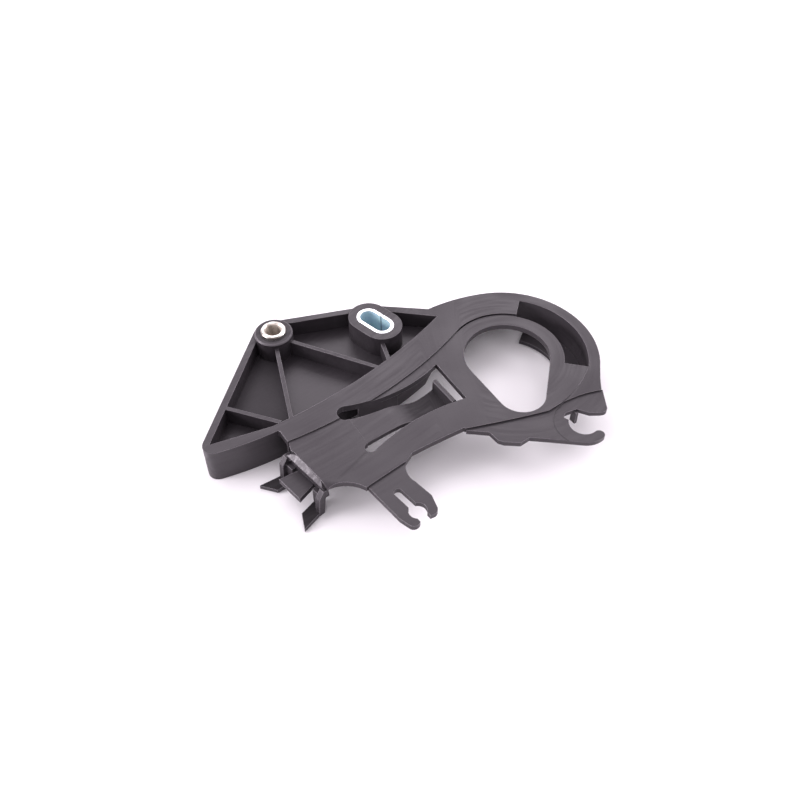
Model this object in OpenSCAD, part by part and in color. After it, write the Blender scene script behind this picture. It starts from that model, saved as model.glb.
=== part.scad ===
// Timing chain guide. A ribbed tray carries two sleeved fixing holes, a covered chain
// channel runs from the tray into a loop round the sprocket, and a latch tongue, a fork,
// a hook and a claw clip the moulding to its neighbours.
// The origin is the axis of the round fixing on the mounting face, with +X to the slotted one.

/* [Fixings] */
// Bore of the round sleeve
bore_d = 6.5; // [5.5:0.1:7.5]
// Outside diameter of the round sleeve
sleeve_d = 10.2; // [9.2:0.1:11.2]
// Height of the round sleeve above its boss
sleeve_proud = 1.4; // [0.2:0.1:3]
// Chamfer on the rims of the round sleeve
sleeve_chamfer = 0.4; // [0.1:0.1:0.6]
// Outside diameter of the round boss
boss_d = 15.7; // [14.5:0.1:17]
// Height of both bosses
boss_h = 17.9; // [17:0.1:20]
// Chamfer round the top of the round boss
boss_chamfer = 0.5; // [0.1:0.1:0.8]
// Slotted fixing in X
slot_x = 42.1; // [41:0.1:43]
// Slotted fixing in Y
slot_y = 0.5; // [-0.5:0.1:1.5]
// Direction of the slot
slot_turn = -50; // [-60:1:-40]
// Width of the slot inside its sleeve
slot_w = 7; // [6:0.1:8]
// Travel that the slot gives its screw
slot_travel = 7.7; // [6:0.1:9]
// Sheet that the slotted sleeve is rolled from
slot_sheet = 1.4; // [1:0.1:1.6]
// Open butt seam of the slotted sleeve
slot_seam = 0.2; // [0.1:0.05:0.4]
// Moulding left round the slotted sleeve
slot_boss_wall = 3.4; // [2.6:0.1:4]
// Gap round each sleeve in its seat
seat_gap = 0.05; // [0.02:0.01:0.1]

/* [Tray] */
// Height of the walls, ribs and band
wall_h = 15.6; // [14.8:0.1:16.6]
// Thickness of the outer walls
wall_t = 2.7; // [2:0.1:3.2]
// Thickness of the tray floor
floor_t = 2; // [1.2:0.1:3]
// Thickness of the ribs
rib_t = 1.6; // [1.2:0.1:2.2]
// Distance of the outer walls from the round fixing
tray_r = 8.8; // [8.6:0.1:9.4]
// Direction that the left wall faces
left_n = 159.6; // [158:0.1:161]
// Direction that the top wall faces
top_n = 95.1; // [94:0.1:96]
// Direction that the right top wall faces
right_n = 76.5; // [76:0.1:77]
// Distance of the right top wall from the round fixing
right_d = 22; // [21.6:0.1:22.4]
// Radius of the near left corner
corner_r = 4.2; // [3.4:0.1:4.8]
// Thickness of the front wall at the corner
front_t = 4.4; // [3.6:0.1:5]

/* [Channel] */
// Thickness of the rail wall beside the tray
rail_t = 3; // [2.4:0.1:3.6]
// Thickness of the wall on the clip side
guard_t = 1.8; // [1.2:0.1:2.4]
// Height of that wall's foot over the mounting face
guard_foot = 1.6; // [0.6:0.1:3]
// Extra thickness of the pad on that wall
pad_t = 1.2; // [0.6:0.1:1.6]
// Thickness of the band over the channel
band_t = 3; // [2:0.1:4]
// Step from the band down to the plate
band_step = 0.6; // [0.3:0.1:1]
// Thickness of the plate
plate_t = 2.4; // [1.8:0.1:3]

/* [Loop] */
// Axis of the sprocket in X
loop_x = 92.7; // [92:0.1:93.4]
// Axis of the sprocket in Y
loop_y = -24; // [-24.6:0.1:-23.4]
// Outside radius of the loop
loop_r = 37.2; // [36.6:0.1:37.8]
// Radius that the chain runs inside
loop_in_r = 32.7; // [32:0.1:33.2]
// Inside radius of the window and of the lip under it
lip_r = 23.1; // [21:0.1:23.4]
// Thickness of the lip
lip_t = 1.8; // [1.2:0.1:3]
// Window from this angle
window_a0 = -20; // [-20:1:-12]
// Window to this angle
window_a1 = 68; // [62:1:74]
// Lip to this angle
lip_a1 = 61; // [50:1:66]
// Radius of the hub hole
hub_r = 17.5; // [16:0.1:18.5]
// Radius of the narrow end of the hub hole
hub_tail_r = 9.6; // [8.6:0.1:10.2]
// Narrow end of the hub hole in Y, from the sprocket axis
hub_tail_y = -21.5; // [-21.8:0.1:-20]

/* [Latch] */
// Direction of the tongue
tongue_turn = 26; // [24:1:28]
// Thickness of the tongue
tongue_t = 2; // [1.4:0.1:2.4]
// Depth that the tongue dips below the plate
tongue_dip = 5; // [3:0.1:6]
// Thickness of the upright wall at the end of the tongue
latch_t = 2; // [1.4:0.1:2.6]

/* [Clips] */
// Thickness of the fork and the hook
clip_t = 2.2; // [1.8:0.1:2.8]
// Step from the plate down to the fork
fork_step = 0.7; // [0.4:0.1:1.4]
// Width of the slot in the fork
fork_slot = 3.2; // [2.4:0.1:4]
// Diameter of the pin that the fork holds
fork_pin_d = 6.8; // [6.4:0.1:7.6]
// Width of the mouth of the fork
fork_mouth_w = 4.4; // [3.6:0.1:5]
// Step from the plate down to the hook
hook_step = 0.8; // [0.5:0.1:1.6]
// Step down to the round field of the hook
collar_step = 0.25; // [0.1:0.05:0.5]
// Diameter of the pipe that the hook holds
throat_d = 11.4; // [10.6:0.1:12]
// Width of the hook
hook_w = 4; // [3.4:0.1:4.4]
// Length of the fin under the lobe
fin_h = 6; // [3:0.5:8]
// Step from the plate down to the foot of the sloped heel
heel_step = 0.4; // [0.2:0.1:0.5]

/* [Claw] */
// Direction that the claw faces
claw_turn = 214.7; // [213:0.1:216]
// Width of the claw
claw_w = 23.4; // [22.8:0.1:24]
// Thickness of the arch of the claw
claw_t = 2.2; // [1.8:0.1:2.6]
// Radius of the shoulders of the claw
claw_round = 6; // [4:0.1:6.5]
// Bevel on the end of the arch
claw_bevel = 1.9; // [1:0.1:2.2]
// Thickness of the lower fingers
finger_t = 1.8; // [1.2:0.1:2.4]
// Height of the top of the middle finger
thumb_z = 9.1; // [8:0.1:9.8]
// Thickness of the middle finger
thumb_t = 2.4; // [1.8:0.1:3]

/* [Hidden] */
$fn = 64;
// Reach of a cut past the face that it leaves
past = 1;
// Drop of a piece whose face would otherwise lie in another's
tuck = 0.03;
// Overlap of pieces that are one moulding
lap = 0.5;
origin = [0, 0];
slot_at = [slot_x, slot_y];
loop_at = [loop_x, loop_y];

// Levels of the top faces
plate_z = wall_h - band_step;
fork_z = plate_z - fork_step;
hook_z = plate_z - hook_step;
heel_z = plate_z - heel_step;

// Radii of the fixings
seat_r = sleeve_d / 2 + seat_gap;
slot_r = slot_w / 2;
slot_sleeve_r = slot_r + slot_sheet;
slot_seat_r = slot_sleeve_r + seat_gap;
slot_boss_r = slot_seat_r + slot_boss_wall;

function polar(c, r, a) = c + r * [cos(a), sin(a)];
function arc(c, r, a0, a1, n = 12) = [for (i = [0:n]) polar(c, r, a0 + (a1 - a0) * i / n)];
function turned(list) = [for (i = [len(list) - 1:-1:0]) list[i]];
function rest(list) = [for (i = [1:len(list) - 1]) list[i]];

// Where the line at distance d1 facing a1 meets the line at distance d2 facing a2
function meet(a1, d1, a2, d2) =
    [d1 * sin(a2) - d2 * sin(a1), d2 * cos(a1) - d1 * cos(a2)] / sin(a2 - a1);

// Middle of the circle through three points
function middle(p, q, r) =
    let (k = p * p, l = q * q, m = r * r, s = q - p, t = r - p)
    [k * (q.y - r.y) + l * (r.y - p.y) + m * (p.y - q.y),
     k * (r.x - q.x) + l * (p.x - r.x) + m * (q.x - p.x)] / (2 * (s.x * t.y - s.y * t.x));

// Arc from the first point through the second to the third, its radius grown by g
function bow(p, g = 0, n = 16) =
    let (c = middle(p[0], p[1], p[2]), r = norm(p[0] - c) + g,
         a = [for (q = p) atan2(q.y - c.y, q.x - c.x)],
         side = cross(p[1] - p[0], p[2] - p[1]) > 0 ? 1 : -1,
         sweep = ((side * (a[2] - a[0])) % 360 + 360) % 360)
    arc(c, r, a[0], a[0] + side * sweep, n);

// Curves of the chain channel, each through three points
rail_meets_loop = 133;
rail_lap = 0.2;
rail = [[-3, -48.6], [34, -27.7], polar(loop_at, loop_in_r + rail_t - rail_lap, rail_meets_loop)];
rail_face = bow(rail, rail_t);
seam_r = 24;
seam_a = 132.5;
seam = [[2, -56.8], [42.5, -36.2], polar(loop_at, seam_r, seam_a)];
seam_rise = 60;
pad_from = 21;
pad_to = 46.3;
guard_to = 67;
guard_slope_at = [59.6, -23.1];
guard_slope_turn = 41;

// Outline of the tray
corner_y = -54.5;
corner_foot = -80;
corner = [(tray_r - corner_r - sin(left_n) * corner_y) / cos(left_n), corner_y];
front_mid = [-11, -54.9];
front = bow([polar(corner, corner_r, corner_foot), front_mid, rail_face[0]]);
inner_y = corner_y - corner_r + front_t;
inner_corner = [(tray_r - wall_t - sin(left_n) * inner_y) / cos(left_n), inner_y];
right_run = 62.1;
loop_join = right_d * [cos(right_n), sin(right_n)] + right_run * [sin(right_n), -cos(right_n)];
loop_swell = 0.8;
loop_swell_a = 111;
loop_mid = polar(loop_at, loop_r + loop_swell, loop_swell_a);
loop_top = 95;
wall_end = -20;
hub_tail_x = 0.8;

// Ends of the ribs
long_rib = [4.3, -48];
cross_rib = [42, -24.9];
short_rib = [45.4, -24];
front_rib = [[-22, -36], [0, -47]];

// Edges of the plate
band_end = [-0.4, -51.8];
plate_left = [[8, -50], [2.2, -56.2], [3, -60.8], [4.1, -61.9], [14.6, -78.9]];
plate_near = [[15.3, -78.7], [20.5, -78], [28.4, -81.4]];
fork_line = [44.4, -71.6];
near_edge = [[46.9, -68.2], [57.2, -63.6], [68.2, -59.2]];
clip_seam = [[68.4, -59.6], [86, -57.8], [102, -55.5]];
heel_from = [107.4, -52.5];
heel_to = [125, -47.8];
heel_line = [heel_from, [115.4, -45.9], polar(loop_at, loop_in_r, wall_end)];
heel_seam = [heel_from, [115.4, -49.4], heel_to];
heel_side = [126.2, -42];
heel_turn = atan2(heel_to.y - heel_from.y, heel_to.x - heel_from.x);
heel_run = cross(polar(origin, 1, heel_turn), polar(loop_at, loop_r, wall_end) - heel_to);
plate_back = [[60, -20], [30, -40]];

// Opening round the latch, with a slot along each side of the tongue
slot_edge = [[24, -42.6], [46, -37.2], [63.4, -25]];
window_foot = [[71.8, -44.6], [56, -50], [33.4, -65.4]];
slot_end = [24.5, -45.8];
slot_end_r = 3.2;
short_end = [32.2, -63.6];
short_end_r = 2.2;

// Tongue in plan, and its stations along its own direction
tongue_far = [[20, -49.8], [42, -44.6], [62, -32.6]];
tongue_near = [[26, -64.4], [46, -53.8], [68.6, -44.7]];
tongue_root = -6;
dip_from = 15;
dip_to = 33;
latch_s = 39.4;

// Fork
fork_root = [[28, -79.2], [38.3, -96]];
fork_left_tip = [42.9, -97.4];
fork_left_r = 2.4;
fork_left_a = [215, 360];
fork_right_tip = [49.6, -93.4];
fork_right_r = 2.5;
fork_right_a = [-60, 20];
fork_hip = [50.9, -87.6];
fork_neck = [[46.2, -81], [43.6, -75.2], [44.6, -70.8]];
fork_back = [42, -67];
fork_head = [39.3, -84.8];
fork_pin = [45, -93.4];
fork_mouth = [50, -102.2];

// Hook, its lobe and the tab beside it
throat = [113.7, -62.6];
throat_r = throat_d / 2;
hook_tip_a = -56;
hook_arm = [102.8, -69.7];
hook_arm_a = [259, 304];
tab_edge = [[68.8, -60], [77.3, -62.2], [79.6, -66.4], [81.8, -67.6], [87.8, -68.9], [91.6, -66.8]];
lobe_toe = [113, -55.5];
lobe_edge = [[117.4, -58], [121.1, -58.5]];
lobe_tip = [122.4, -56.1];
lobe_tip_r = 2.4;
lobe_top = [125.7, -47.2];
hook_back = [[108, -48], [90, -50], [72, -54]];
notch = [[106.7, -58.8], [108.1, -56.8]];
notch_in = [-4.5, 1.5];
collar_r = 11.6;
collar_back = 5;
fin = [[111.8, -54.4], [113, -56.9]];
fin_t = 1.2;

// Claw in its own frame, with X out of the plate
claw_at = [6.5, -70];
claw_deep = 4;
claw_face = -0.5;
screen_in = 0.7;
roll_turn = 55;
skirt_z = plate_z - claw_round - lap;
screen_z = 6.7;
finger_z = 0.2;
front_in = 5.9;
front_x = [-1.2, 0.8];
leg_back = 0.3;
leg_front = 2.8;
leg_side = [[-2.4, 12], [0, 12.4], [2.2, 9.3], [leg_front, finger_z], [leg_back, finger_z], [-0.7, 8.5]];
finger_tip = [11.1, 13.3];
finger_inner = [7.5, 7.2];
thumb_root = 4;
thumb_tip = [6.7, 6];

// Straight bar between two points
module bar(p, q, t) {
    d = q - p;
    translate(p) rotate(atan2(d.y, d.x)) translate([0, -t / 2]) square([norm(d), t]);
}

// Flat slab of the given thickness under the level z
module slab(z, t) {
    translate([0, 0, z - t]) linear_extrude(t) children();
}

// Slot with round ends about the origin, along X
module stadium(r, travel) {
    translate([-travel / 2, 0]) circle(r);
    translate([travel / 2, 0]) circle(r);
    square([travel, 2 * r], center = true);
}

module at_slot() {
    translate(slot_at) rotate(slot_turn) children();
}

// Full height plan: tray, rail and loop wall, open towards the chain
module rail_plan() {
    polygon(concat(
        arc(origin, tray_r, left_n, top_n, 6),
        [meet(top_n, tray_r, right_n, right_d)],
        bow([loop_join, loop_mid, polar(loop_at, loop_r, loop_top)], 0, 8),
        arc(loop_at, loop_r, loop_top - 5, wall_end, 24),
        arc(loop_at, loop_in_r, wall_end, rail_meets_loop, 30),
        turned(rail_face),
        turned(front),
        rest(arc(corner, corner_r, corner_foot, left_n - 360, 8))));
}

// Inside of the tray
module pocket_plan() {
    polygon(concat(
        [meet(left_n, tray_r - wall_t, top_n, tray_r - wall_t)],
        [meet(top_n, tray_r - wall_t, right_n, right_d - wall_t)],
        turned(bow(rail)),
        [inner_corner]));
}

// Ribs from the fixings to the walls
module rib_plan() {
    bar(origin, long_rib, rib_t);
    bar(origin, cross_rib, rib_t);
    bar(slot_at, short_rib, rib_t);
    bar(front_rib[0], front_rib[1], rib_t);
}

module tray() {
    difference() {
        linear_extrude(wall_h) rail_plan();
        translate([0, 0, floor_t]) linear_extrude(wall_h) difference() {
            pocket_plan();
            rib_plan();
        }
    }
}

// Solid round both fixings
module bosses() {
    rotate_extrude() polygon([
        [0, 0], [boss_d / 2, 0], [boss_d / 2, boss_h - boss_chamfer],
        [boss_d / 2 - boss_chamfer, boss_h], [0, boss_h]]);
    at_slot() linear_extrude(boss_h) stadium(slot_boss_r, slot_travel);
}

module seats() {
    translate([0, 0, -past]) cylinder(r = seat_r, h = boss_h + 2 * past);
    at_slot() translate([0, 0, -past]) linear_extrude(boss_h + 2 * past)
        stadium(slot_seat_r, slot_travel);
}

// Top of the channel, from the rail to the seam
module band_plan() {
    polygon(concat(
        bow(rail, rail_t / 2),
        arc(loop_at, (loop_r + loop_in_r) / 2, rail_meets_loop, window_a1 - 4, 12),
        arc(loop_at, seam_r, window_a1 - 4, seam_a, 12),
        turned(bow(seam)),
        [band_end]));
}

// Plate from the channel to the clips
module plate_plan() {
    polygon(concat(
        plate_left,
        bow(plate_near, 0, 8),
        [fork_line],
        bow(near_edge, 0, 8),
        bow(clip_seam, 0, 8),
        bow(heel_line, 0, 8),
        [polar(loop_at, loop_in_r + lap, window_a0)],
        arc(loop_at, lip_r + lap, window_a0 + 2, seam_a, 30),
        plate_back));
}

module heel_plan() {
    polygon(concat(
        bow(heel_seam, 0, 8),
        [heel_side, polar(loop_at, loop_r - tuck, wall_end + 1)],
        [polar(loop_at, loop_in_r + tuck, wall_end + 1)],
        turned(rest(bow(heel_line, -tuck, 8)))));
}

// Sloped field from the end of the loop wall down to the seam over the hook
module heel() {
    difference() {
        slab(wall_h, wall_h - plate_z + plate_t) heel_plan();
        translate([heel_to.x, heel_to.y, heel_z]) rotate([0, 0, heel_turn])
            rotate([atan2(wall_h - heel_z, heel_run), 0, 0]) translate([-loop_r, -loop_r, 0])
                cube([2 * loop_r, 2 * loop_r, loop_r]);
    }
}

// Hole for the hub and the sprocket screw, wide at the axis and narrow towards the clips
module hub_hole() {
    tail_off = [hub_tail_x, hub_tail_y];
    tail = loop_at + tail_off;
    lean = asin((hub_r - hub_tail_r) / norm(tail_off));
    across = atan2(tail_off.y, tail_off.x) + 90;
    translate(loop_at) circle(hub_r);
    translate(tail) circle(hub_tail_r);
    polygon([
        polar(loop_at, hub_r, across - lean), polar(tail, hub_tail_r, across - lean),
        polar(tail, hub_tail_r, across + 180 + lean), polar(loop_at, hub_r, across + 180 + lean)]);
}

// Ring sector about the sprocket axis
module loop_sector(r0, r1, a0, a1) {
    polygon(concat(arc(loop_at, r1, a0, a1, 20), arc(loop_at, r0, a1, a0, 20)));
}

module latch_window() {
    polygon(concat([slot_end], bow(slot_edge), bow(window_foot), [short_end]));
    translate(slot_end) circle(slot_end_r);
    translate(short_end) circle(short_end_r);
}

// Strip along the seam between two offsets from it and two positions in X
module seam_strip(g0, g1, x0, x1) {
    intersection() {
        polygon(concat(bow(seam, g0), turned(bow(seam, g1))));
        translate([x0, seam[0].y - guard_t - pad_t]) square([x1 - x0, seam_rise]);
    }
}

// Wall of the channel on the clip side, open at the slot and sloped off at its end
module guard() {
    difference() {
        translate([0, 0, guard_foot]) linear_extrude(plate_z - plate_t / 2 - guard_foot) {
            seam_strip(-guard_t, 0, 0, guard_to);
            seam_strip(-guard_t / 2, pad_t, pad_from, pad_to);
        }
        linear_extrude(wall_h) latch_window();
        translate([guard_slope_at.x, guard_slope_at.y, guard_foot]) rotate([0, 0, guard_slope_turn])
            rotate([0, -45, 0]) translate([-past, -wall_h / 2, -wall_h]) cube(wall_h);
    }
}

// Side view of the tongue: it dips in a smooth wave and ends in an upright wall
module tongue_side() {
    wave = [for (i = [0:12]) [dip_from + (dip_to - dip_from) * i / 12,
        -tongue_dip * (1 - cos(15 * i)) / 2]];
    low = [for (p = turned(wave)) p - [0, tongue_t]];
    polygon(concat(
        [[tongue_root, 0]], wave, [[latch_s, -tongue_dip]],
        arc([latch_s + latch_t / 2, -latch_t / 2], latch_t / 2, 180, 0, 8),
        [[latch_s + latch_t, -tongue_dip - tongue_t]], low, [[tongue_root, -tongue_t]]));
}

module tongue() {
    intersection() {
        linear_extrude(wall_h) polygon(concat(bow(tongue_far), turned(bow(tongue_near))));
        rotate([0, 0, tongue_turn]) translate([0, loop_x, plate_z - tuck]) rotate([90, 0, 0])
            linear_extrude(2 * loop_x) tongue_side();
    }
}

// Fork that snaps over a pin
module fork_plan() {
    difference() {
        polygon(concat(
            fork_root,
            arc(fork_left_tip, fork_left_r, fork_left_a[0], fork_left_a[1], 8),
            arc(fork_right_tip, fork_right_r, fork_right_a[0], fork_right_a[1], 6),
            [fork_hip],
            bow(fork_neck, 0, 8),
            [fork_back]));
        translate(fork_head) circle(fork_slot / 2);
        bar(fork_head, fork_pin, fork_slot);
        translate(fork_pin) circle(fork_pin_d / 2);
        bar(fork_pin, fork_mouth, fork_mouth_w);
    }
}

// Hook that snaps round a pipe, with the lobe over it and the tab beside it
module hook_plan() {
    difference() {
        union() {
            polygon(concat(
                tab_edge, [hook_arm],
                arc(throat, throat_r + hook_w, hook_arm_a[0], hook_arm_a[1], 6),
                [throat, lobe_toe], lobe_edge,
                arc(lobe_tip, lobe_tip_r, -90, 0, 5),
                [lobe_top], hook_back));
            translate(polar(throat, throat_r + hook_w / 2, hook_tip_a)) circle(hook_w / 2);
        }
        translate(throat) circle(throat_r);
        polygon(concat([throat + notch_in], notch, [lobe_toe, throat]));
    }
}

module hook() {
    difference() {
        slab(hook_z, clip_t) hook_plan();
        slab(hook_z + past, collar_step + past) {
            translate(throat) circle(collar_r);
            translate(throat - [collar_back, 0]) square(2 * collar_r);
        }
    }
    slab(hook_z - clip_t / 2, fin_h) bar(fin[0], fin[1], fin_t);
}

// Upright arch with round shoulders
module arch(w, h, r, foot) {
    polygon(concat(
        [[-w, foot]], arc([-w + r, h - r], r, 180, 90, 8),
        arc([w - r, h - r], r, 90, 0, 8), [[w, foot]]));
}

// Claw that grips a rib between its middle finger and the two lower ones
module claw() {
    half = claw_w / 2;
    difference() {
        rotate([90, 0, 90]) translate([0, 0, -claw_deep]) linear_extrude(claw_deep + claw_face)
            difference() {
                arch(half, plate_z - tuck, claw_round, skirt_z);
                arch(half - claw_t, plate_z - claw_t, claw_round - claw_t, skirt_z - past);
            }
        translate([claw_face, -claw_w, plate_z - claw_bevel]) rotate([0, -45, 0]) cube(2 * claw_w);
        translate([leg_side[0].x - claw_deep, half - claw_round, 0])
            cube([claw_deep, claw_w, plate_z - plate_t + tuck]);
    }
    rotate([90, 0, 90]) translate([0, 0, claw_face - screen_in - claw_t]) linear_extrude(claw_t)
        arch(half - claw_t + lap, plate_z - claw_t + lap, claw_round - claw_t + lap, screen_z);
    for (side = [-1, 1]) {
        slab(skirt_z + past, skirt_z + past - finger_z) polygon([
            [front_x[0], side * front_in], [front_x[1], side * front_in],
            [front_x[1], side * (half - claw_t / 2)], [front_x[0], side * (half - claw_t)]]);
        translate([0, side * (half - claw_t / 2) + claw_t / 2, 0]) rotate([90, 0, 0])
            linear_extrude(claw_t) polygon(leg_side);
        translate([0, 0, finger_z]) linear_extrude(finger_t) polygon([
            [leg_back, side * front_in], [finger_inner.x, side * finger_inner.y],
            [finger_tip.x, side * finger_tip.y], [leg_front, side * half], [leg_back, side * half]]);
    }
    slab(thumb_z, thumb_t) polygon([
        [claw_face - claw_t, -thumb_root], [thumb_tip.x, -thumb_tip.y],
        [thumb_tip.x, thumb_tip.y], [claw_face - claw_t, thumb_root]]);
}

// Corner of the plate, rolled off from the round shoulder of the claw to the near edge
module claw_corner() {
    side = claw_w / 2 - claw_round;
    foot = plate_z - claw_round;
    roll = [for (p = arc([0, foot], claw_round, 90, 0, 8)) [p.x * cos(roll_turn), p.y]];
    translate(claw_at) rotate(claw_turn) translate([claw_face, side, 0]) rotate(-roll_turn)
        rotate([90, 0, 90]) translate([0, 0, -claw_w / 2]) linear_extrude(claw_w)
            polygon(concat(roll, [[claw_w, foot], [claw_w, wall_h], [0, wall_h]]));
}

// Everything that lies at the level of the plate, cut for the window, the hub and the latch
module cover() {
    difference() {
        union() {
            slab(wall_h, band_t) band_plan();
            slab(plate_z, plate_t) plate_plan();
            heel();
            slab(fork_z, clip_t) fork_plan();
            hook();
        }
        linear_extrude(wall_h + past) {
            hub_hole();
            loop_sector(lip_r, loop_in_r, window_a0, window_a1);
            latch_window();
        }
        claw_corner();
    }
}

module guide_body() {
    color("#4a464b") difference() {
        union() {
            tray();
            bosses();
            cover();
            linear_extrude(lip_t) loop_sector(lip_r, loop_in_r + past, window_a0, lip_a1);
            guard();
            tongue();
            translate(claw_at) rotate(claw_turn) claw();
        }
        seats();
    }
}

// Turned sleeve with a chamfer on each rim
module round_sleeve() {
    h = boss_h + sleeve_proud;
    c = sleeve_chamfer;
    r = sleeve_d / 2;
    b = bore_d / 2;
    color("#c9c7c4") rotate_extrude() polygon([
        [b + c, 0], [r - c, 0], [r, c], [r, h - c], [r - c, h], [b + c, h], [b, h - c], [b, c]]);
}

// Rolled sleeve with its butt seam in the middle of one flat
module slotted_sleeve() {
    color("#a9b6bd") at_slot() linear_extrude(boss_h) difference() {
        stadium(slot_sleeve_r, slot_travel);
        stadium(slot_r, slot_travel);
        translate([0, slot_r + slot_sheet / 2]) square([slot_seam, slot_sheet + 2 * past], center = true);
    }
}

guide_body();
round_sleeve();
slotted_sleeve();
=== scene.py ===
import bmesh
import bpy
import math
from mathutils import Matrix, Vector


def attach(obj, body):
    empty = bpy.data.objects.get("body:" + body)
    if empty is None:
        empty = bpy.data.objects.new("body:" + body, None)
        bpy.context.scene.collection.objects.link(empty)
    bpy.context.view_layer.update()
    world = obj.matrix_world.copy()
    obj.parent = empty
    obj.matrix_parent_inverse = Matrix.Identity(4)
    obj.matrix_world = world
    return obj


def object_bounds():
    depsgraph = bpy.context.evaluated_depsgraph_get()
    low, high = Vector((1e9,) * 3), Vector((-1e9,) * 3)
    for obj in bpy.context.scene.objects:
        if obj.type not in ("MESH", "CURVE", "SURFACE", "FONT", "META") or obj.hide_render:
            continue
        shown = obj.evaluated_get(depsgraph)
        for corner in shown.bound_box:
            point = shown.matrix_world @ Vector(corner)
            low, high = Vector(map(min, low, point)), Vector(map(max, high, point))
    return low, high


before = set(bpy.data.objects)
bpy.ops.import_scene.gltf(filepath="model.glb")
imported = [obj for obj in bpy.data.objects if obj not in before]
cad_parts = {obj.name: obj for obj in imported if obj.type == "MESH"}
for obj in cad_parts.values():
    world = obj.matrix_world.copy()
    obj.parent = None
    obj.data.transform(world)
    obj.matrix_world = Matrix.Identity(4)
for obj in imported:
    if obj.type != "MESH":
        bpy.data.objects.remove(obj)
cadLow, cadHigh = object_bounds()
print("frame loaded:", ", ".join(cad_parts))


class Wire:                                     # a socket that can be used in sums
    def __init__(self, socket):
        self.socket = socket

    def add(self, kind, settings, sockets, out=0):
        tree = self.socket.id_data
        node = tree.nodes.new("ShaderNode" + kind)
        for key, value in settings.items():
            setattr(node, key, value)
        for key, value in sockets.items():
            if isinstance(value, Wire):
                tree.links.new(value.socket, node.inputs[key])
            else:
                node.inputs[key].default_value = value
        return Wire(node.outputs[out])

    def math(self, operation, *values):
        return self.add("Math", {"operation": operation}, dict(enumerate(values)))

    def __add__(self, other):
        return self.math("ADD", self, other)

    def __radd__(self, other):
        return self.math("ADD", other, self)

    def __sub__(self, other):
        return self.math("SUBTRACT", self, other)

    def __rsub__(self, other):
        return self.math("SUBTRACT", other, self)

    def __mul__(self, other):
        return self.math("MULTIPLY", self, other)

    def __rmul__(self, other):
        return self.math("MULTIPLY", other, self)

    def __pow__(self, other):
        return self.math("POWER", self, other)


def newFinish(name):                            # an empty material, its shader and the place in mm
    material = bpy.data.materials.new(name)
    material.use_nodes = True
    tree = material.node_tree
    tree.nodes.clear()
    shader = tree.nodes.new("ShaderNodeBsdfPrincipled")
    output = tree.nodes.new("ShaderNodeOutputMaterial")
    tree.links.new(shader.outputs[0], output.inputs["Surface"])
    coords = Wire(tree.nodes.new("ShaderNodeTexCoord").outputs["Object"])
    place = coords.add("VectorMath", {"operation": "SCALE"}, {0: coords, "Scale": 1000})
    return material, shader, place


def feed(shader, key, value):
    if isinstance(value, Wire):
        shader.id_data.links.new(value.socket, shader.inputs[key])
    else:
        shader.inputs[key].default_value = value


def axes(place):
    return [place.add("SeparateXYZ", {}, {0: place}, out) for out in range(3)]


def blend(factor, first, second):               # two colours by a mask
    return factor.add("Mix", {"data_type": "RGBA"}, {0: factor, 6: first, 7: second}, 2)


def between(value, low, high, first=0.0, second=1.0):
    return value.add("MapRange", {"interpolation_type": "SMOOTHSTEP"},
                     {0: value, 1: low, 2: high, 3: first, 4: second})


def near(value, far, close):                    # 1 where the value is close to zero
    return between(value.math("ABSOLUTE", value), far, close)


def within(value, low, high, soft):             # 1 inside the range, fading in and out over the soft length
    return between(value, low, low + soft) * between(value, high, high - soft)


def distance(x, y, centre):
    u, v = x - centre[0], y - centre[1]
    return (u * u + v * v) ** 0.5


def dot(first, second):
    return first.add("VectorMath", {"operation": "DOT_PRODUCT"}, {0: first, 1: second}, "Value")


def noise(place, scale, stretch=(1, 1, 1), detail=3.0, bend=0.0):
    spread = place.add("VectorMath", {"operation": "MULTIPLY"}, {0: place, 1: stretch})
    sockets = {"Vector": spread, "Scale": scale, "Detail": detail, "Distortion": bend}
    return spread.add("TexNoise", {}, sockets)


def faceNormal(place):
    return place.add("NewGeometry", {}, {}, "Normal")


def softNormal(place, radius):                  # rounds the edges in shading only
    return place.add("Bevel", {"samples": 6}, {"Radius": radius})


def bumped(soft, strength, depth, height):
    return soft.add("Bump", {}, {"Strength": strength, "Distance": depth, "Height": height, "Normal": soft})


def openness(place, reach):                     # 1 in the open, less where another face stands close by
    return place.add("AmbientOcclusion", {"samples": 6, "only_local": True}, {"Distance": reach}, "AO")


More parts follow.
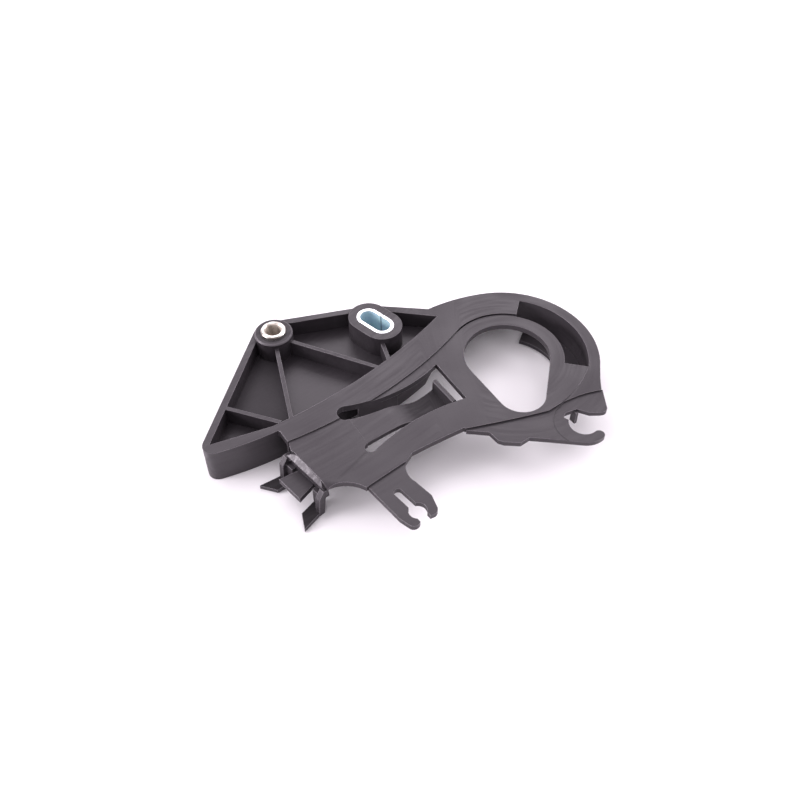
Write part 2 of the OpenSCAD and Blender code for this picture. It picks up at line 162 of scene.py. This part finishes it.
# moulded nylon, dark grey with a faint violet cast; places in mm, edge, reach and grain in metres
moulding = {
    "dark": (0.022, 0.0185, 0.022, 1),
    "light": (0.029, 0.0245, 0.029, 1),
    # the next three: painted highlight on the boss's outer ring, painted highlight along the outer edges,
    # painted shade
    "ringHighlight": (0.072, 0.064, 0.072, 1),
    "edgeHighlight": (0.32, 0.295, 0.32, 1),
    "shade": (0.012, 0.010, 0.012, 1),
    "sheen": (1.0, 0.95, 1.0, 1),
    "ior": 1.52,
    "roughness": 0.46,
    "dulled": {
        "boss": 0.12,
        "dip": 0.30,
        "finger": 0.40,
        "web": -0.07,
        "field": 0.27,
        "rim": -0.08,
        "bevel": -0.14,
    },
    "edge": 0.00030,
    "reach": 0.0008,
    "grain": 0.00004,
    "upright": (0.8, 0.95),                     # how far a face has to look up to count as a top
    "bend": ((-94.5, 156.6), (92.7, -24.0)),    # middles of the channel's curve and of the loop
    "swing": (58.0, 78.0),                      # where the flow lines pass from one to the other
    "trayEdge": -60.5,
    "fade": 1.5,
    "finger": 2.0,                              # height of the lower claw fingers
    "web": 8.2,                                 # height of the tray's web
    "field": (0.09, 0.5, -47.0),                # slopes of the two ribs round the left pocket, and its foot
    "bossTop": (17.0, 17.6),
    "bossRim": (8.4, 8.0),
    "bossHollow": (6.4, 5.4),
    "bossRing": (7.0, 7.4),
    "dip": ((42.0, 72.0), (-52.0, -28.0)),
    "dipRamp": (14.2, 11.5),
    "dipFoot": (7.0, 7.6),
    "crease": ((31.0, -65.5), (19.5, -76.0)),
    "creaseTop": (14.0, 14.8),
    "seams": (((79.7, -10.8), 50.2, (107.6, 117.0)), ((113.7, -62.6), 11.4, (101.0, 107.5))),
    "seamTop": (12.0, 13.0),
    "bevel": (-0.581, -0.403, 0.707),           # the way the claw's bevel faces
    "claw": (6.5, -70.0, 0.569, -0.822),
    "clawReach": 8.0,
}


def mouldedFinish(look):
    material, shader, place = newFinish("moulded_nylon")
    x, y, z = axes(place)
    soft = softNormal(place, look["edge"])
    plain = faceNormal(place)
    edge = between(dot(soft, plain), 0.995, 0.86)
    up = place.add("SeparateXYZ", {}, {0: plain}, 2)
    top = between(up, *look["upright"])
    bendMiddle, loopMiddle = look["bend"]
    swing = between(x, *look["swing"])
    course = distance(x, y, bendMiddle) * (1 - swing) + distance(x, y, loopMiddle) * swing
    flow = place.add("CombineXYZ", {}, {0: course, 1: x * 0.05, 2: z * 0.4})
    streaks = noise(flow, 1.1, detail=6.0)                          # flow lines along the chain's path
    clouds = noise(place, 0.05, detail=2.0)
    grain = noise(place, 1.6, detail=2.0)
    tone = between(streaks * 0.6 + clouds * 0.4, 0.32, 0.68)
    colour = blend(tone, look["dark"], look["light"])

    edgeY, fade = look["trayEdge"], look["fade"]
    onFinger = near(z - look["finger"], 0.2, 0.05) * top * between(y, edgeY, edgeY - fade)
    colour = blend(onFinger * 0.9, colour, look["shade"])           # painted shade on the lower fingers of the claw, under the arch
    onWeb = near(z - look["web"], 0.2, 0.05) * top * between(y, edgeY, edgeY + fade)
    longSlope, frontSlope, foot = look["field"]
    leftField = onWeb * between(x + y * longSlope, 0.5, -0.5)
    leftField = leftField * between(y + x * frontSlope, foot - 0.5, foot + 0.5)

    fromBoss = distance(x, y, (0.0, 0.0))
    onBoss = between(z, *look["bossTop"]) * between(fromBoss, *look["bossRim"])
    # painted shade round the sleeve, and a painted highlight on the boss's outer ring
    colour = blend(onBoss * between(fromBoss, *look["bossHollow"]), colour, look["shade"])
    colour = blend(onBoss * between(fromBoss, *look["bossRing"]), colour, look["ringHighlight"])

    (x0, x1), (y0, y1) = look["dip"]
    inDip = between(x, x0, x0 + 8) * between(x, x1, x1 - 1) * within(y, y0, y1, 1)
    inDip = inDip * between(z, *look["dipRamp"]) * between(z, *look["dipFoot"])
    colour = blend(inDip * 0.8, colour, look["shade"])              # painted shade on the latch tongue's low end

    clear = openness(place, look["reach"])
    # painted shade in inner corners and narrow gaps, where faces stand close
    colour = blend(between(clear, 0.9, 0.5) * 0.7, colour, look["shade"])
    # where the painted edge highlight goes: open convex edges, stronger in patches
    rim = edge * between(clear, 0.75, 0.95) * between(clouds, 0.30, 0.60, 0.4, 1.0)

    (x0, y0), (x1, y1) = look["crease"]
    length = math.hypot(x1 - x0, y1 - y0)
    dx, dy = (x1 - x0) / length, (y1 - y0) / length
    along = (x - x0) * dx + (y - y0) * dy
    across = (y - y0) * dx - (x - x0) * dy
    inside = between(along, -0.5, 1.5) * between(along, length + 1.5, length - 1.5)
    crease = inside * between(z, *look["creaseTop"]) * near(across, 1.1, 0.0)
    for middle, radius, (x0, x1) in look["seams"]:                  # painted shade along steps too low to cast their own
        line = near(distance(x, y, middle) - radius, 0.5, 0.0) * within(x, x0, x1, 1)
        crease = crease + line * top * between(z, *look["seamTop"])
    rim = rim * (1 - crease)
    colour = blend(rim * 0.85, colour, look["edgeHighlight"])                # painted highlight along the outer edges

    px, py, ux, uy = look["claw"]
    onBevel = between(dot(plain, look["bevel"]), 0.92, 0.98)
    onBevel = onBevel * between((x - px) * ux + (y - py) * uy, look["clawReach"], 0.0)
    streaked = 1 - onWeb * 0.85                                     # the web is smoother than the top
    height = grain * 0.5 + streaks * streaked * 0.6 - crease * 3.0
    roughness = look["roughness"] + (tone - 0.5) * streaked * 0.30 + (grain - 0.5) * 0.12
    spots = {"boss": onBoss, "dip": inDip, "finger": onFinger, "web": onWeb, "field": leftField,
             "rim": rim, "bevel": onBevel}
    for name, mask in spots.items():
        roughness = roughness + mask * look["dulled"][name]
    # painted shade along the crease and the seam lines, on top of their bump
    feed(shader, "Base Color", blend(crease * 0.5, colour, look["shade"]))
    feed(shader, "Roughness", roughness)
    feed(shader, "Normal", bumped(soft, 0.6, look["grain"], height))
    feed(shader, "IOR", look["ior"])
    feed(shader, "Specular Tint", look["sheen"])
    return material


# turned steel sleeve with tool rings on its ends; places in mm, edge and depth in metres
turnedSteel = {
    "bright": (0.66, 0.635, 0.60, 1),
    "warm": (0.64, 0.56, 0.49, 1),
    "stainAndDarkReflection": (0.24, 0.21, 0.19, 1),
    "roughness": 0.24,
    "edge": 0.00025,
    "depth": 0.00003,
    "ringPitch": 0.16,
    "bore": (3.9, 3.4),
    # where the painted dark reflection on the near chamfer lies
    "reflectionRadius": (4.68, 4.78),
    "reflectionTop": (18.6, 18.9),
    "reflectionWidth": (2.6, 1.6),
    "reflectionSide": (-3.0, -3.6),
}


def turnedFinish(look):
    material, shader, place = newFinish("turned_steel_finish")
    x, y, z = axes(place)
    soft = softNormal(place, look["edge"])
    radius = distance(x, y, (0.0, 0.0))
    turns = noise(place.add("CombineXYZ", {}, {0: radius, 1: z, 2: 0.0}), 1 / look["ringPitch"], detail=2.0)
    smudge = noise(place, 0.4, (1, 1, 0.5))
    bore = between(radius, *look["bore"])
    # the bore's warm grey is partly its own finish and partly painted reflection
    colour = blend(bore * 0.8, look["bright"], look["warm"])
    colour = blend(between(smudge, 0.50, 0.62) * 0.65, colour, look["stainAndDarkReflection"])
    # painted dark reflection on the near part of the chamfer
    darkReflection = between(radius, *look["reflectionRadius"]) * between(z, *look["reflectionTop"])
    darkReflection = darkReflection * near(x, *look["reflectionWidth"]) * between(y, *look["reflectionSide"])
    feed(shader, "Base Color", blend(darkReflection, colour, look["stainAndDarkReflection"]))
    feed(shader, "Metallic", 1.0 - bore * 0.75)
    feed(shader, "Roughness", look["roughness"] + (turns - 0.5) * 0.12 + smudge * 0.08 + bore * 0.10)
    feed(shader, "Normal", bumped(soft, 0.35, look["depth"], turns))
    return material


# rolled sleeve, zinc plated, blue in the bore and bright on its ends; places in mm, edge and depth in metres
platedSteel = {
    "rim": (0.88, 0.89, 0.90, 1),
    "blue": (0.41, 0.56, 0.68, 1),
    "pale": (0.50, 0.69, 0.71, 1),
    "seam": (0.02, 0.04, 0.06, 1),
    "centre": (42.1, 0.5),
    "turn": -50.0,
    "roughness": 0.30,
    "edge": 0.0002,
    "depth": 0.00003,
    "seamWidth": (0.28, 0.12),
}


def platedFinish(look):
    material, shader, place = newFinish("plated_steel_finish")
    x, y, z = axes(place)
    soft = softNormal(place, look["edge"])
    up = place.add("SeparateXYZ", {}, {0: faceNormal(place)}, 2)
    ends = near(up, 0.7, 0.9)                                       # 1 on the two cut ends
    drawn = noise(place, 1.2, (1, 1, 0.08))                         # marks of the rolling run up the bore
    bloom = noise(place, 0.25, bend=0.6)
    colour = blend(between(bloom * 0.6 + drawn * 0.4, 0.3, 0.7), look["blue"], look["pale"])
    turn = math.radians(look["turn"])
    u, v = x - look["centre"][0], y - look["centre"][1]
    along = u * math.cos(turn) + v * math.sin(turn)
    across = v * math.cos(turn) - u * math.sin(turn)
    seam = near(along, *look["seamWidth"]) * between(across, 0.0, 0.5)
    colour = blend(ends, colour, look["rim"])
    feed(shader, "Base Color", blend(seam, colour, look["seam"]))
    feed(shader, "Metallic", 0.15 + ends * 0.75)
    feed(shader, "Roughness", look["roughness"] + (drawn - 0.5) * 0.15 - ends * 0.06)
    feed(shader, "Normal", bumped(soft, 0.3, look["depth"], drawn * 0.6 + bloom * 0.4))
    return material


def shadeSmooth(piece, angle):                  # display only: shallow facets read as one curve
    group = bpy.data.node_groups.new("smooth_shading", "GeometryNodeTree")
    for side in ("INPUT", "OUTPUT"):
        group.interface.new_socket("Mesh", in_out=side, socket_type="NodeSocketGeometry")
    start = group.nodes.new("NodeGroupInput")
    end = group.nodes.new("NodeGroupOutput")
    weld = group.nodes.new("GeometryNodeMergeByDistance")
    weld.inputs["Distance"].default_value = 1e-6
    bend = group.nodes.new("GeometryNodeInputMeshEdgeAngle")
    sharp = group.nodes.new("FunctionNodeCompare")
    sharp.operation = "GREATER_THAN"
    sharp.inputs["B"].default_value = math.radians(angle)
    shade = group.nodes.new("GeometryNodeSetMeshNormal")
    shade.mode = "SHARPNESS"
    shade.inputs["Remove Custom"].default_value = True
    shade.inputs["Face Sharpness"].default_value = False
    joins = (
        (start.outputs[0], weld.inputs[0]),
        (weld.outputs[0], shade.inputs["Mesh"]),
        (bend.outputs[0], sharp.inputs["A"]),
        (sharp.outputs[0], shade.inputs["Edge Sharpness"]),
        (shade.outputs[0], end.inputs[0]),
    )
    for first, second in joins:
        group.links.new(first, second)
    piece.modifiers.new("smooth_shading", "NODES").node_group = group


smoothBelow = 26                                # degrees between facets
finishes = {
    "guide_body": mouldedFinish(moulding),
    "round_sleeve": turnedFinish(turnedSteel),
    "slotted_sleeve": platedFinish(platedSteel),
}
for name, finish in finishes.items():
    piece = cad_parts[name]
    piece.data.materials.clear()
    piece.data.materials.append(finish)
    shadeSmooth(piece, smoothBelow)
print("finishes set:", len(finishes))

# web of the tray, in mm, let into the walls and the bosses; each arc is centre, radius, angles
trayWeb = {
    "slot": (
        ((39.6, 3.45), 7.8, 124.7, 220.0),
        ((44.6, -2.45), 7.8, 220.0, 400.0),
        ((39.6, 3.45), 7.8, 40.0, 55.9),
    ),
    "rail": ((-94.5, 156.59), 225.27, -43.49, -65.97),
    "railStep": 2.0,
    "corner": (-27.6, -54.9),
    "boss": ((0.0, 0.0), 7.3, 183.0, 431.7),
    "levels": (1.0, 8.2),
}


def arcPoints(centre, radius, first, last, step=6.0):
    count = max(2, math.ceil(abs(last - first) / step))
    turns = [math.radians(first + (last - first) * spot / count) for spot in range(count + 1)]
    return [(centre[0] + radius * math.cos(turn), centre[1] + radius * math.sin(turn)) for turn in turns]


def makeWeb(look, finish):
    outline = []
    for arc in look["slot"]:
        outline += arcPoints(*arc)
    outline += arcPoints(*look["rail"], look["railStep"])
    outline.append(look["corner"])
    outline += arcPoints(*look["boss"])
    work = bmesh.new()
    foot, top = [[work.verts.new((x / 1000, y / 1000, z / 1000)) for x, y in outline] for z in look["levels"]]
    work.faces.new(foot)
    work.faces.new(top)
    for spot in range(len(outline)):
        work.faces.new((foot[spot - 1], foot[spot], top[spot], top[spot - 1]))
    bmesh.ops.remove_doubles(work, verts=work.verts[:], dist=1e-5)
    bmesh.ops.recalc_face_normals(work, faces=work.faces[:])
    bmesh.ops.triangulate(work, faces=[face for face in work.faces if len(face.verts) > 4])
    mesh = bpy.data.meshes.new("tray_web")
    work.to_mesh(mesh)
    work.free()
    mesh.materials.append(finish)
    web = bpy.data.objects.new("tray_web", mesh)
    bpy.context.scene.collection.objects.link(web)
    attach(web, "root")


makeWeb(trayWeb, finishes["guide_body"])
print("tray web made")

# pale sweep under the part, in metres
ground = {"reach": 8.0, "drop": 0.00005, "colour": (0.90, 0.875, 0.90, 1), "roughness": 0.7}


def makeGround(look):
    mesh = bpy.data.meshes.new("ground")
    r, z = look["reach"], cadLow.z - look["drop"]
    mesh.from_pydata([(-r, -r, z), (r, -r, z), (r, r, z), (-r, r, z)], [], [(0, 1, 2, 3)])
    floor = bpy.data.objects.new("ground", mesh)
    bpy.context.scene.collection.objects.link(floor)
    material, shader, place = newFinish("ground_paper")
    fibre = noise(place, 0.02, detail=2.0)
    feed(shader, "Base Color", look["colour"])
    feed(shader, "Roughness", look["roughness"] + (fibre - 0.5) * 0.04)
    floor.data.materials.append(material)


makeGround(ground)

# soft boxes in metres and watts, aimed at the middle of the part: name, place, width, depth, power
studio = {
    "aim": (0.05, -0.04, 0.01),
    "boxes": (
        ("back", (0.30, 0.90, 0.85), 1.10, 0.70, 5.8),
        ("top", (-0.45, 0.35, 1.05), 0.80, 0.60, 3.2),
        ("left", (-0.85, -0.08, 0.32), 0.40, 0.30, 7.0),
        ("right", (0.95, 0.10, 0.50), 0.60, 0.50, 4.5),
    ),
    "tint": (1.0, 0.955, 1.0),
    "sky": 0.92,
    "rise": (0.0, 0.35),
}


def aimAt(thing, target):
    thing.rotation_euler = (Vector(target) - thing.location).to_track_quat("-Z", "Y").to_euler()


def makeStudio(look):
    for name, place, wide, deep, power in look["boxes"]:
        lamp = bpy.data.lights.new("softbox_" + name, "AREA")
        lamp.shape = "RECTANGLE"
        lamp.color = look["tint"]
        lamp.size = wide
        lamp.size_y = deep
        lamp.energy = power
        box = bpy.data.objects.new("softbox_" + name, lamp)
        box.location = place
        aimAt(box, look["aim"])
        bpy.context.scene.collection.objects.link(box)
    world = bpy.data.worlds.new("studio")
    world.use_nodes = True
    sky = world.node_tree.nodes["Background"]
    ray = Wire(world.node_tree.nodes.new("ShaderNodeTexCoord").outputs["Generated"])
    rise = between(ray.add("SeparateXYZ", {}, {0: ray}, 2), *look["rise"])
    low = [shade * tint for shade, tint in zip(ground["colour"], look["tint"])]
    feed(sky, "Color", blend(rise, (*low, 1), (*look["tint"], 1)))  # low down it is near the ground's colour
    feed(sky, "Strength", look["sky"])
    bpy.context.scene.world = world


makeStudio(studio)

# camera fitted to the photo: metres, degrees and millimetres of lens and sensor
view = {
    "place": (0.012635, -0.271055, 0.2744),
    "turn": (41.75, 0.0, -8.349),
    "lens": 40.5,
    "sensor": 36.0,
    "near": 0.01,
}


def makeCamera(look):
    data = bpy.data.cameras.new("camera")
    data.lens = look["lens"]
    data.sensor_width = look["sensor"]
    data.clip_start = look["near"]
    camera = bpy.data.objects.new("camera", data)
    camera.location = look["place"]
    camera.rotation_euler = [math.radians(angle) for angle in look["turn"]]
    bpy.context.scene.collection.objects.link(camera)
    bpy.context.scene.camera = camera
    bpy.context.scene.view_settings.view_transform = "Standard"


makeCamera(view)
print("ground, lights and camera set")
